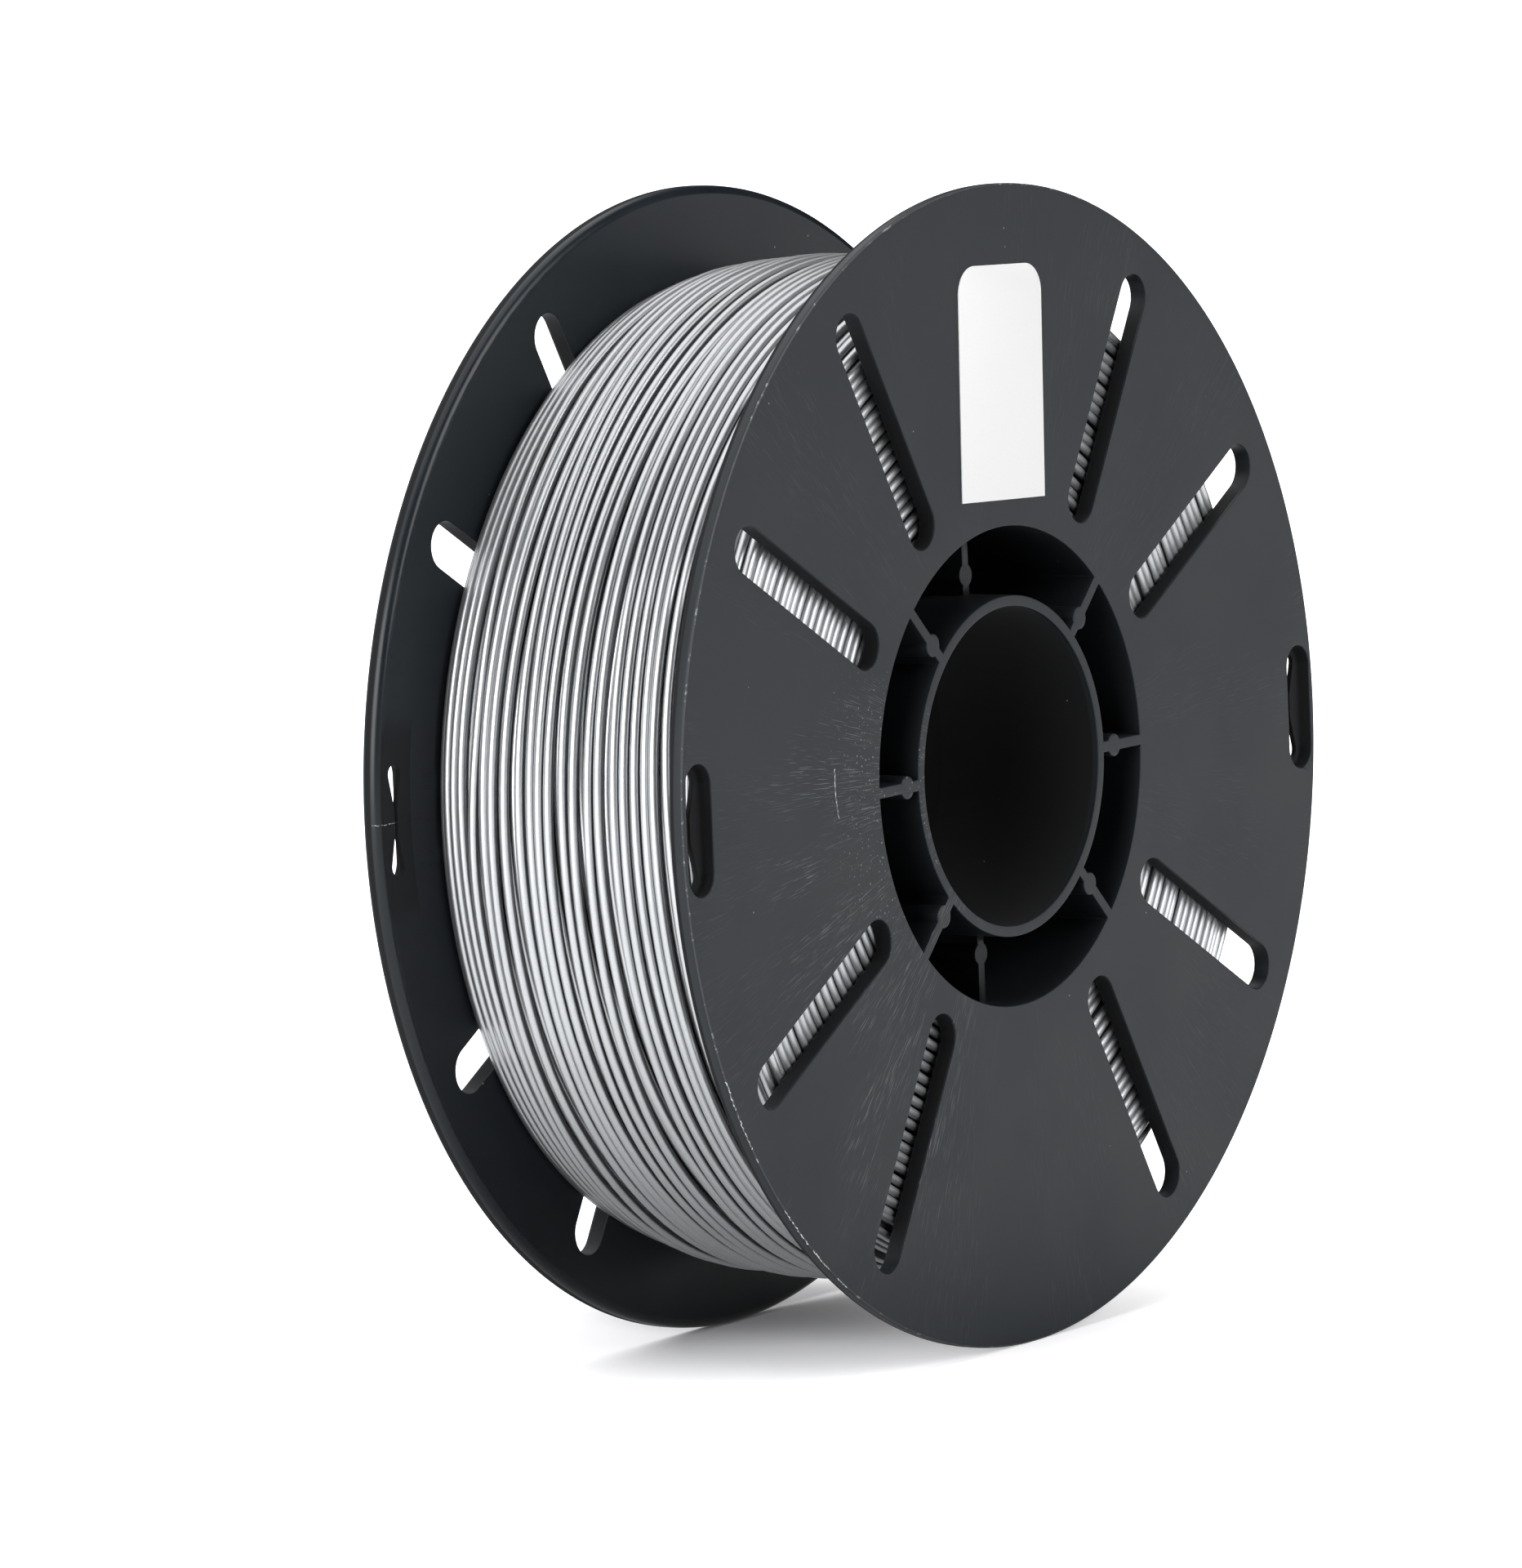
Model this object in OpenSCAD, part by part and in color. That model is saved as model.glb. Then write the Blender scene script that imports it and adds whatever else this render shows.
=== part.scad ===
// Full filament spool: two moulded halves, one wound strand and a label.
// The spool stands on its two rims. Its axis lies along Y, +Z is up, and the origin is
// the middle of the bore. The label is on the near flange, which faces -Y.

/* [Spool] */
// Diameter of both flanges
flange_d = 200; // [190:1:240]
// Width over both flanges
spool_w = 65; // [45:0.5:90]
// Thickness of a flange
flange_t = 3.2; // [2.8:0.1:5]
// Rounding of the rim towards the outside
rim_outer_r = 0.4; // [0.2:0.1:1.2]
// Rounding of the rim towards the winding
rim_inner_r = 1.6; // [0.4:0.1:1.6]

/* [Hub] */
// Diameter of the bore that the spindle goes through
bore_d = 55; // [45:0.5:60]
// Wall of the centre tube
tube_wall = 1.9; // [1.2:0.1:3]
// Diameter of the opening between the centre tube and the drum
hub_d = 82.6; // [76:0.2:86]
// Wall of the drum that carries the winding
drum_wall = 2.2; // [1.6:0.1:3]
// Length of the lap that centres one half in the other
lap_l = 4; // [2:0.5:8]
// Radial play in the lap
lap_play = 0.15; // [0.05:0.05:0.3]

/* [Webs] */
// Number of webs between the centre tube and the drum
web_count = 8; // [4:4:12]
// Thickness of a web
web_t = 1.9; // [1.2:0.1:3]
// Diameter of the ejector pad on a web
pad_d = 4; // [2.5:0.1:5]
// Distance from the centre tube's outside to the middle of a pad
pad_reach = 3.4; // [2.6:0.1:8]
// How far the top and bottom webs lie below the flange face
web_recess = 8; // [2:0.5:16]

/* [Slots] */
// Step between the places round the flange, of which four stay solid
slot_step = 30; // [30:15:45]
// Width of a slot
slot_w = 8.2; // [4:0.1:10]
// Land between the drum's outside and the inner end of a slot
slot_drum_land = 2.9; // [1.5:0.1:16]
// Land between the outer end of a slot and the rim
slot_rim_land = 6.7; // [5:0.1:25]

/* [Filament clips] */
// Distance from the rim to the middle of a clip
clip_inset = 5; // [5:0.1:7]
// Width of the pocket over a clip
pocket_w = 7.4; // [5:0.1:7.6]
// Length of the pocket over a clip
pocket_l = 22; // [20:0.5:28]
// Thickness of the web that is left under the pocket
clip_web_t = 1; // [0.6:0.1:1.6]
// Width of the hole at each end of a clip
clip_hole_w = 3.2; // [2.9:0.1:3.6]
// Length over both holes of a clip
clip_hole_l = 18.8; // [16:0.1:19.5]
// Length of the narrow neck between the holes
clip_neck_l = 4; // [2:0.5:6]
// Width of the narrow neck
clip_neck_w = 0.6; // [0.4:0.1:1]

/* [Filament] */
// Diameter of the strand
strand_d = 1.75; // [1.6:0.05:1.9]
// Diameter over the winding beside the flanges
wound_d = 162; // [110:1:166]
// How far the middle of the winding bulges past its ends
crown_h = 7.2; // [1:0.2:8]
// Turns in the outer layer, at its widest spacing
turns = 24; // [12:1:24]
// Space between the winding and each flange
side_play = 0.4; // [0.3:0.1:1]
// Space between the layers, and between the winding and the drum
layer_play = 0.3; // [0.2:0.1:0.6]
// Inside radius, to the strand's middle, of the bend into the clip
tail_bend = 2.5; // [2.2:0.1:2.8]

/* [Label] */
// Width of the label
label_w = 26; // [16:0.5:30]
// Height of the label
label_h = 40.3; // [24:0.1:42]
// Distance from the rim to the label's middle
label_inset = 34; // [26:0.5:36]
// Place of the label round the flange, from +X towards +Z
label_angle = 89; // [86:0.5:94]
// How far the label is stuck on askew
label_skew = 1.2; // [-3:0.1:3]
// Radius of the label's two upper corners
label_corner_r = 5; // [1:0.5:8]
// Thickness of the label
label_t = 0.2; // [0.1:0.05:0.5]

/* [Hidden] */

$fn = 96;
ring_fn = 24;           // rings in one turn of the strand
strand_fn = 6;          // sides of the strand
bend_steps = 6;         // rings in the bend into the clip
bend_turn = 90;         // the strand goes square through the clip
crown_step = 7.5;       // step along the section of the core's crown
cut = 1;                // how far a cut runs past the face that it opens

flange_r = flange_d / 2;
half_w = spool_w / 2;
inner_half_w = half_w - flange_t;
bore_r = bore_d / 2;
tube_r = bore_r + tube_wall;
hub_r = hub_d / 2;
drum_r = hub_r + drum_wall;
lap_r = hub_r + drum_wall / 2;
pad_r = tube_r + pad_reach;
slot_inner_r = drum_r + slot_drum_land;
slot_outer_r = flange_r - slot_rim_land;
clip_r = flange_r - clip_inset;
label_r = flange_r - label_inset;

web_step = 360 / web_count;
bite = tube_wall / 2;   // how far a web reaches into the walls that carry it

// Solid places round the flange: the two clips, the label and the place opposite it
SOLID_PLACES = [0, 90, 180, 270];
SLOT_ANGLES = [for (a = [0 : slot_step : 359]) if (len(search(a, SOLID_PLACES)) == 0) a];
CLIP_ANGLES = [0, 180];

clip_hole_r = clip_hole_w / 2;
clip_hole_at = clip_hole_l / 2 - clip_hole_r;

strand_r = strand_d / 2;
// Centre line of the outer layer beside the flanges, and the core that keeps clear of it
layer_r = wound_d / 2 - strand_r;
chord_drop = 1 - cos(180 / ring_fn);
core_end_r = layer_r * (1 - chord_drop / 2) - strand_r - layer_play;
core_inner_r = drum_r + layer_play;
layer_end = inner_half_w - side_play - strand_r;
pitch = 2 * layer_end / turns;

// The crown is a flat half ellipse that meets the flanges. The rings of the strand stand
// out a little, so that the chords between them lie at the layer's radius.
function crown_at(y) = crown_h * sqrt(1 - pow(y / inner_half_w, 2));
function ring_r_at(y) = (layer_r + crown_at(y)) * (1 + chord_drop / 2);

// The strand leaves the last turn along a tangent that meets the far clip's lower hole
end_ring_r = ring_r_at(layer_end);
tail_reach = sqrt(pow(clip_r, 2) + pow(clip_hole_at, 2) - pow(end_ring_r, 2));
leave_angle = -atan2(clip_hole_at, clip_r) - atan2(tail_reach, end_ring_r);
// Place along the bend where the strand passes the middle of the clip's web
web_mid = side_play + strand_r + clip_web_t / 2;
bend_at_web = acos(max(0, 1 - web_mid / tail_bend));
tail_straight = tail_reach - tail_bend * sin(bend_at_web);
tail_end_l = max(0.6 * strand_d, half_w - layer_end - tail_bend - 0.2);

// ---------------------------------------------------------------- moulded halves

// Section of a flange: X is the distance from the axis, Y the depth below its face
module flange_section() {
    straight_r = flange_r - max(rim_outer_r, rim_inner_r);
    translate([hub_r, 0]) square([straight_r - hub_r, flange_t]);
    translate([hub_r, 0]) square([flange_r - rim_outer_r - hub_r, flange_t - rim_inner_r]);
    translate([hub_r, rim_outer_r]) square([flange_r - rim_inner_r - hub_r, flange_t - rim_outer_r]);
    translate([hub_r, rim_outer_r])
        square([flange_r - hub_r, flange_t - rim_outer_r - rim_inner_r]);
    translate([flange_r - rim_outer_r, rim_outer_r]) circle(r = rim_outer_r);
    translate([flange_r - rim_inner_r, flange_t - rim_inner_r]) circle(r = rim_inner_r);
}

module ring(inner, outer, height) {
    difference() {
        cylinder(r = outer, h = height);
        translate([0, 0, -cut]) cylinder(r = inner, h = height + 2 * cut);
    }
}

// Slot with round ends, along X
module slot_shape(inner_end, outer_end, width) {
    r = width / 2;
    translate([inner_end + r, 0]) circle(r = r);
    translate([outer_end - r, 0]) circle(r = r);
    translate([inner_end + r, -r]) square([outer_end - inner_end - width, width]);
}

// One round hole of a clip and its taper towards the neck, along Y
module clip_drop() {
    neck_r = clip_neck_w / 2;
    run = clip_hole_at - clip_neck_l / 2;
    lean = asin((clip_hole_r - neck_r) / run);
    translate([0, clip_hole_at]) circle(r = clip_hole_r);
    polygon([
        [clip_hole_r * cos(lean), clip_hole_at - clip_hole_r * sin(lean)],
        [neck_r, clip_neck_l / 2],
        [-neck_r, clip_neck_l / 2],
        [-clip_hole_r * cos(lean), clip_hole_at - clip_hole_r * sin(lean)],
        [0, clip_hole_at]
    ]);
}

module clip_holes() {
    clip_drop();
    mirror([0, 1]) clip_drop();
    translate([-clip_neck_w / 2, -clip_neck_l / 2 - cut]) square([clip_neck_w, clip_neck_l + 2 * cut]);
}

module clip_cut() {
    pocket_depth = flange_t - clip_web_t;
    translate([clip_r, 0, -cut]) linear_extrude(pocket_depth + cut)
        rotate(90) slot_shape(-pocket_l / 2, pocket_l / 2, pocket_w);
    translate([clip_r, 0, -cut]) linear_extrude(flange_t + 2 * cut) clip_holes();
}

module flange() {
    difference() {
        rotate_extrude() flange_section();
        for (a = SLOT_ANGLES)
            rotate(a) translate([0, 0, -cut]) linear_extrude(flange_t + 2 * cut)
                slot_shape(slot_inner_r, slot_outer_r, slot_w);
        for (a = CLIP_ANGLES) rotate(a) clip_cut();
    }
}

module web(depth) {
    length = hub_r - tube_r + 2 * bite;
    translate([tube_r - bite, -web_t / 2, depth]) cube([length, web_t, half_w - depth]);
    translate([pad_r, 0, depth]) cylinder(d = pad_d, h = half_w - depth);
}

module webs() {
    for (i = [0 : web_count - 1]) {
        a = i * web_step;
        rotate(a) web(abs(sin(a)) > 0.99 ? web_recess : 0);
    }
}

// One half with its outer face at z = 0 and the joint at z = half_w, without its lap
module half_body() {
    flange();
    ring(hub_r, drum_r, half_w);
    ring(bore_r, tube_r, half_w);
    webs();
}

module near_half() {
    color([0.24, 0.25, 0.26])
    translate([0, -half_w, 0]) rotate([-90, 0, 0]) {
        half_body();
        ring(hub_r, lap_r - lap_play / 2, half_w + lap_l);
    }
}

module far_half() {
    color([0.24, 0.25, 0.26])
    translate([0, half_w, 0]) rotate([90, 0, 0])
    difference() {
        half_body();
        translate([0, 0, half_w - lap_l - layer_play])
            ring(hub_r - lap_play, lap_r + lap_play / 2, lap_l + layer_play + cut);
    }
}

// ---------------------------------------------------------------- wound strand

module filament_core() {
    half = inner_half_w - layer_play;
    crown = [for (a = [-90 : crown_step : 90]) [core_end_r + crown_h * cos(a), half * sin(a)]];
    color([0.62, 0.63, 0.65])
    rotate([90, 0, 0]) rotate_extrude()
        polygon(concat([[core_inner_r, half], [core_inner_r, -half]], crown));
}

// A station is the strand's middle and the two directions that its ring lies in
function station_on_turn(a, y) =
    let (r = ring_r_at(y))
    [[r * cos(a), y, r * sin(a)], [cos(a), 0, sin(a)], [0, 1, 0]];

function tail_out() = [cos(leave_angle), 0, sin(leave_angle)];
function tail_along() = [-sin(leave_angle), 0, cos(leave_angle)];

function station_on_bend(a) =
    let (corner = end_ring_r * tail_out() + tail_straight * tail_along() + [0, layer_end, 0])
    [corner + tail_bend * (sin(a) * tail_along() + [0, 1 - cos(a), 0]),
     tail_out(),
     [0, cos(a), 0] - sin(a) * tail_along()];

function layer_stations() =
    [for (i = [0 : turns * ring_fn])
        station_on_turn(leave_angle + (i - turns * ring_fn) * 360 / ring_fn,
                        -layer_end + pitch * i / ring_fn)];

// The strand starts one diameter before the first turn and ends inside the far clip
function strand_stations() =
    let (layer = layer_stations(), bent = station_on_bend(bend_turn))
    concat(
        [[layer[0][0] - strand_d * tail_along(), layer[0][1], layer[0][2]]],
        layer,
        [for (i = [0 : bend_steps]) station_on_bend(bend_turn * i / bend_steps)],
        [[bent[0] + [0, tail_end_l, 0], bent[1], bent[2]]]
    );

function strand_ring(s) =
    [for (k = [0 : strand_fn - 1])
        let (a = 360 * k / strand_fn) s[0] + strand_r * (cos(a) * s[1] + sin(a) * s[2])];

function strand_faces(rings) =
    let (n = strand_fn, last = (rings - 1) * n)
    concat(
        [for (k = [1 : n - 2]) [0, k, k + 1]],
        [for (i = [0 : rings - 2], k = [0 : n - 1])
            let (a = i * n + k, b = i * n + (k + 1) % n) [a, a + n, b]],
        [for (i = [0 : rings - 2], k = [0 : n - 1])
            let (a = i * n + k, b = i * n + (k + 1) % n) [b, a + n, b + n]],
        [for (k = [1 : n - 2]) [last, last + k + 1, last + k]]
    );

// Least space between parts of the strand that are half a turn or more apart
function least_gap(stations) =
    min([for (i = [0 : len(stations) - 1 - ring_fn / 2], j = [i + ring_fn / 2 : len(stations) - 1])
        norm(stations[i][0] - stations[j][0])]) - strand_d;

module filament_turns() {
    stations = strand_stations();
    echo(least_gap_mm = least_gap(stations), stations = len(stations));
    color([0.74, 0.75, 0.77])
    polyhedron(
        points = [for (s = stations, p = strand_ring(s)) p],
        faces = strand_faces(len(stations)),
        convexity = 10
    );
}

// ---------------------------------------------------------------- label

// Label outline with square lower corners and round upper ones
module label_shape() {
    translate([-label_w / 2, -label_h / 2]) square([label_w, label_h - label_corner_r]);
    translate([-label_w / 2 + label_corner_r, -label_h / 2])
        square([label_w - 2 * label_corner_r, label_h]);
    for (side = [-1, 1])
        translate([side * (label_w / 2 - label_corner_r), label_h / 2 - label_corner_r])
            circle(r = label_corner_r);
}

module label() {
    color([0.95, 0.95, 0.94])
    rotate([0, 90 - label_angle, 0])
    translate([0, -half_w, label_r])
    rotate([0, label_skew, 0])
    rotate([90, 0, 0]) linear_extrude(label_t) label_shape();
}

near_half();
far_half();
filament_core();
filament_turns();
label();
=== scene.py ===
"""Looks of a full filament spool: two dark moulded halves, a silver strand and a bare label."""

import math
import random

import bmesh
import bpy
import numpy as np
from mathutils import Matrix, Vector


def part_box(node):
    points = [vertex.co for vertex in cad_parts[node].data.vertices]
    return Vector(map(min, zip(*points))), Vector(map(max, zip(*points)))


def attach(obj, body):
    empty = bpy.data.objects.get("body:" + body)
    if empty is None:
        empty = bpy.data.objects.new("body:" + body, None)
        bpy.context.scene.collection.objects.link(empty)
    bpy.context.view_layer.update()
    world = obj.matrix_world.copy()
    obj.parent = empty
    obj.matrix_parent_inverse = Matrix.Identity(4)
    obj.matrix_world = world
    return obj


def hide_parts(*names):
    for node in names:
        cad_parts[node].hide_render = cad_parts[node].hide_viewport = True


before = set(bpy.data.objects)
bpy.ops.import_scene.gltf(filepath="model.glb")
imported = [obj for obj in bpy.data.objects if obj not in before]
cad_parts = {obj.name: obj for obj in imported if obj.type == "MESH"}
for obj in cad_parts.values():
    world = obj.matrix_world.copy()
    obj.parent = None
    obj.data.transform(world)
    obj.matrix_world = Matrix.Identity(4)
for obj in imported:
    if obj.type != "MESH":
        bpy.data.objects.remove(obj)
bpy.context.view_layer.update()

MM = 0.001
TURN = 2 * math.pi

# Sizes of the moulded halves. The spool's axis is Y and the label is on the -Y side.
near_low, near_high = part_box("near_half")
FLANGE_R = near_high.x
HALF_W = -near_low.y
FLANGE_T = 3.2 * MM
INNER_HALF_W = HALF_W - FLANGE_T
RIM_OUTER_R = 0.4 * MM
RIM_INNER_R = 1.6 * MM
BORE_R = 27.5 * MM
TUBE_R = BORE_R + 1.9 * MM
HUB_R = 41.3 * MM
DRUM_R = HUB_R + 2.2 * MM
LAP_R = (HUB_R + DRUM_R) / 2
LAP_L = near_high.y
LAP_PLAY = 0.15 * MM
WEB_COUNT = 8
WEB_T = 1.9 * MM
WEB_BITE = 0.95 * MM
WEB_RECESS = 8 * MM
PAD_R = 2 * MM
PAD_AT = TUBE_R + 3.4 * MM
SLOT_W = 8.2 * MM
SLOT_INNER_R = DRUM_R + 2.9 * MM
SLOT_OUTER_R = FLANGE_R - 6.7 * MM
SLOT_ANGLES = (30, 60, 120, 150, 210, 240, 300, 330)
EDGE_ROUNDING, LABEL_ROUNDING = 0.18 * MM, 0.04 * MM
EDGE_SEGMENTS = 2
ARC_STEPS = 24

# Sizes of the rim clips
CLIP_ANGLES = (0, 180)
CLIP_R = FLANGE_R - 5 * MM
POCKET_W, POCKET_L = 7.4 * MM, 22 * MM
POCKET_DEPTH = FLANGE_T - 1 * MM
CLIP_HOLE_R = {-1: 1.9 * MM, 1: 1.6 * MM}      # near half and far half
CLIP_HOLE_AT = 7.8 * MM
CLIP_NECK_L, CLIP_NECK_W = 4 * MM, 0.6 * MM

# Sizes of the strand and its winding
STRAND_D = 1.75 * MM
STRAND_R = STRAND_D / 2
WOUND_R = 81 * MM
SIDE_PLAY = 0.4 * MM
LAYER_END = INNER_HALF_W - SIDE_PLAY - STRAND_R
CROWN_H = 7.2 * MM
UNDER_R = WOUND_R - STRAND_R - 0.93 * STRAND_D      # middle of the layer below the top
SWELLS = ((135, 28, -1.2), (225, 28, 1.7), (275, 30, 1.2))     # degrees, degrees, mm
STEPS = 140             # steps in one turn
TOP_TURNS = 26
UNDER_TURNS = 28
TOP_SEED, UNDER_SEED, LIFT_SEED = 7, 4, 3
TIGHT_PITCH = 1.005 * STRAND_D
DWELL = 0.8             # in turns
GAPS_PER_TURN = 6
GAP_CHOICE = 2.2        # how much the few wide gaps stand out from the others
GAP_LENGTH = (0.05, 0.2)        # in turns
GAP_LEANS = (0, 2, -2, 4, -4)    # in turns across for each turn along
GAP_CROSSING = 0.3      # in turns
LIFT_SPACING = 0.4      # in turns
LIFTS = (-0.2 * MM, 0.5 * MM)
LIFT_SMOOTHING = 8      # in steps
STACK_GROUPS = {"near": (2, 3, 2, 3, 4, 4), "far": (3, 4, 2, 5, 4)}     # turns in each group
STACK_SEEDS = {"near": 19, "far": 21}
STACK_GAP, STACK_SLACK = 0.4 * STRAND_D, 0.05 * STRAND_D
STACK_START = DRUM_R + STRAND_R + 0.2 * MM
STACK_SINK = 0.15 * STRAND_D            # how far the last turn lies below the outer layers
STACK_RECESSES = (0.0, 0.0, 0.1 * MM, 0.25 * MM, 0.5 * MM)
CORE_R = DRUM_R + 0.3 * MM
CORE_RECESS, CORE_DEPTH = 1.2 * STRAND_D, 1.5 * STRAND_D    # sideways and inwards
CORE_BUMP = (0.0, 0.55, 0.9, 1.0, 0.9, 0.55)                # heights along one crest
CORE_CORNERS = 13
TAIL_BEND = 2.5 * MM
TAIL_SHIFT = 0.8 * TAIL_BEND            # how far before the clip the bend begins
TAIL_STOP = 0.2 * MM
TAIL_STEPS = 8

# Burrs, with the first and last angle of each one on the near rim, in degrees
RIM_BURRS = ((205.0, 208.4), (209.6, 213.2), (214.2, 215.0), (221.5, 227.0), (227.8, 231.5),
             (233.0, 235.2))
RIM_BURR_STEP = 0.22    # degrees
BURR_R, SEAM_R, FLASH_R = 0.1 * MM, 0.05 * MM, 0.07 * MM
SEAM_ANGLE = 180.2      # degrees
SEAM_FROM, SEAM_TO = 84 * MM, 96 * MM
FLASH_FROM, FLASH_TO = 95.6 * MM, 98 * MM
CURL_ANGLES = (174, 183)        # degrees
CURL_R, CURL_BEND = 55 * MM, 0.9 * MM

# Strengths and places of the marks in the materials, and of the shade painted into them
SCRATCH_FINENESS, SCRATCH_SHORTNESS = 330, 210
SCRATCHES_BELOW, SCRATCHES_BESIDE = 231, 184        # degrees round the hub
SCRATCH_PALENESS, NICK_PALENESS, SPECK_PALENESS, WEAR_PALENESS = 0.22, 0.42, 0.6, 0.6
STRAY_SCRATCHES, STRAY_WEAR = 0.14, 0.1
SLOT_SHADE_FROM, SLOT_SHADE_TO = 93 * MM, 84 * MM   # radius of no shade and of full shade
# painted shade: how far the hollows, dull rims and bore, and the whole inside of the hub, are
# darkened in colour
HOLLOW_PAINTED_SHADE, HUB_PAINTED_SHADE = 0.85, 0.4
HOLLOW_DULLNESS, RIM_GLOSS, NEAR_RIM_GLOSS = 0.35, 0.22, 0.6    # the last is a share of RIM_GLOSS
# painted shade in the grooves between strands
GROOVE_PAINTED_SHADE = 0.78


# ---------------------------------------------------------------- materials

def add_node(tree, kind, inputs=None, **settings):
    """A shader node whose inputs are numbers, colours or other nodes' outputs."""
    made = tree.nodes.new("ShaderNode" + kind)
    for name, value in settings.items():
        setattr(made, name, value)
    for key, value in (inputs or {}).items():
        if isinstance(value, bpy.types.NodeSocket):
            tree.links.new(value, made.inputs[key])
        else:
            made.inputs[key].default_value = value
    return made


def calc(tree, operation, a, b=0.0, c=0.0):
    return add_node(tree, "Math", {0: a, 1: b, 2: c}, operation=operation).outputs[0]


def fade(tree, value, low, high, to_low=0.0, to_high=1.0):
    """Smooth step of a value from low to high, also where low is above high."""
    return add_node(tree, "MapRange", {
        "Value": value, "From Min": low, "From Max": high, "To Min": to_low, "To Max": to_high,
    }, interpolation_type="SMOOTHSTEP").outputs["Result"]


def noise(tree, vector, scale, detail=3.0, roughness=0.5):
    return add_node(tree, "TexNoise", {
        "Vector": vector, "Scale": scale, "Detail": detail, "Roughness": roughness,
    }).outputs["Fac"]


def blend_colour(tree, share, a, b):
    """Mix of two colours. Their sockets on a colour mix are numbers 6 and 7."""
    return add_node(tree, "Mix", {0: share, 6: a, 7: b}, data_type="RGBA").outputs[2]


def new_material(name):
    material = bpy.data.materials.new(name)
    material.use_nodes = True
    tree = material.node_tree
    return material, tree, tree.nodes["Principled BSDF"]


def object_point(tree):
    return add_node(tree, "TexCoord").outputs["Object"]


def round_the_axis(tree, point):
    """Distance from the spool's axis, the two parts of the direction, and the signed side."""
    parts = add_node(tree, "SeparateXYZ", {0: point}).outputs
    across = calc(tree, "MULTIPLY", parts["X"], parts["X"])
    up = calc(tree, "MULTIPLY", parts["Z"], parts["Z"])
    radius = calc(tree, "SQRT", calc(tree, "ADD", across, up))
    return (radius, calc(tree, "DIVIDE", parts["X"], radius),
            calc(tree, "DIVIDE", parts["Z"], radius), parts["Y"])


def between(tree, value, low, high, soft):
    """One from low to high, and fading to nothing within a soft edge on both sides."""
    return calc(tree, "MULTIPLY", fade(tree, value, low - soft, low + soft),
                fade(tree, value, high + soft, high - soft))


def toward(tree, x_part, z_part, angle, from_share, full_share):
    """How nearly a place lies in a direction round the axis, as a share that fades in."""
    c, s = math.cos(math.radians(angle)), math.sin(math.radians(angle))
    nearness = calc(tree, "ADD", calc(tree, "MULTIPLY", x_part, c),
                    calc(tree, "MULTIPLY", z_part, s))
    return fade(tree, nearness, from_share, full_share)


def spots(tree, point, scale, size, share):
    """Small round spots in a share of the cells of a given scale; size is in cells."""
    cells = add_node(tree, "TexVoronoi", {"Vector": point, "Scale": scale, "Randomness": 1.0})
    chosen = add_node(tree, "SeparateColor", {0: cells.outputs["Color"]}).outputs[0]
    return calc(tree, "MULTIPLY", fade(tree, cells.outputs["Distance"], size, 0.4 * size),
                fade(tree, chosen, 1 - share, 1.04 - share))


def face_scratches(tree, point, radius, x_part, z_part, side):
    """How pale the face is: hairlines that fan out below and beside the hub, and nicks."""
    fan = add_node(tree, "CombineXYZ", {
        0: calc(tree, "MULTIPLY", x_part, SCRATCH_FINENESS),
        1: calc(tree, "MULTIPLY", z_part, SCRATCH_FINENESS),
        2: calc(tree, "ADD", calc(tree, "MULTIPLY", radius, SCRATCH_SHORTNESS), side),
    }).outputs[0]
    lines = fade(tree, noise(tree, fan, 1.0, 2, 0.5), 0.56, 0.70)
    blots = add_node(tree, "CombineXYZ", {0: calc(tree, "MULTIPLY", x_part, 5),
                                          1: calc(tree, "MULTIPLY", z_part, 5),
                                          2: calc(tree, "MULTIPLY", radius, 30)}).outputs[0]
    patches = fade(tree, noise(tree, blots, 1.0, 2), 0.42, 0.6)
    below = calc(tree, "MULTIPLY", toward(tree, x_part, z_part, SCRATCHES_BELOW, 0.90, 0.985),
                 fade(tree, radius, HUB_R + 52 * MM, HUB_R + 30 * MM))
    left = calc(tree, "MULTIPLY", toward(tree, x_part, z_part, SCRATCHES_BESIDE, 0.80, 0.97),
                fade(tree, radius, HUB_R + 46 * MM, HUB_R + 14 * MM))
    zones = calc(tree, "MAXIMUM", calc(tree, "MAXIMUM", below, left), STRAY_SCRATCHES)
    lines = calc(tree, "MULTIPLY", calc(tree, "MULTIPLY", lines, patches), zones)
    beside = calc(tree, "MULTIPLY", left, fade(tree, radius, HUB_R + 20 * MM, HUB_R + 1 * MM))
    nicks = calc(tree, "MAXIMUM", spots(tree, point, 800, 0.2, 0.6),
                 spots(tree, point, 1500, 0.24, 0.4))
    nicks = calc(tree, "MULTIPLY", calc(tree, "MULTIPLY", nicks, beside), NICK_PALENESS)
    return calc(tree, "MAXIMUM", calc(tree, "MULTIPLY", lines, SCRATCH_PALENESS), nicks)


def worn_corner(tree, point, radius, depth):
    """How pale the outer corner of a rim is, which is worn in patches."""
    corner = calc(tree, "MULTIPLY", between(tree, depth, HALF_W - 0.22 * MM, HALF_W, 0.06 * MM),
                  fade(tree, radius, FLANGE_R - 0.45 * MM, FLANGE_R - 0.15 * MM))
    worn = fade(tree, noise(tree, point, 420, 5, 0.75), 0.53, 0.66)
    worn = calc(tree, "MAXIMUM", calc(tree, "MULTIPLY", worn, WEAR_PALENESS), STRAY_WEAR)
    return calc(tree, "MULTIPLY", corner, worn)


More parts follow.
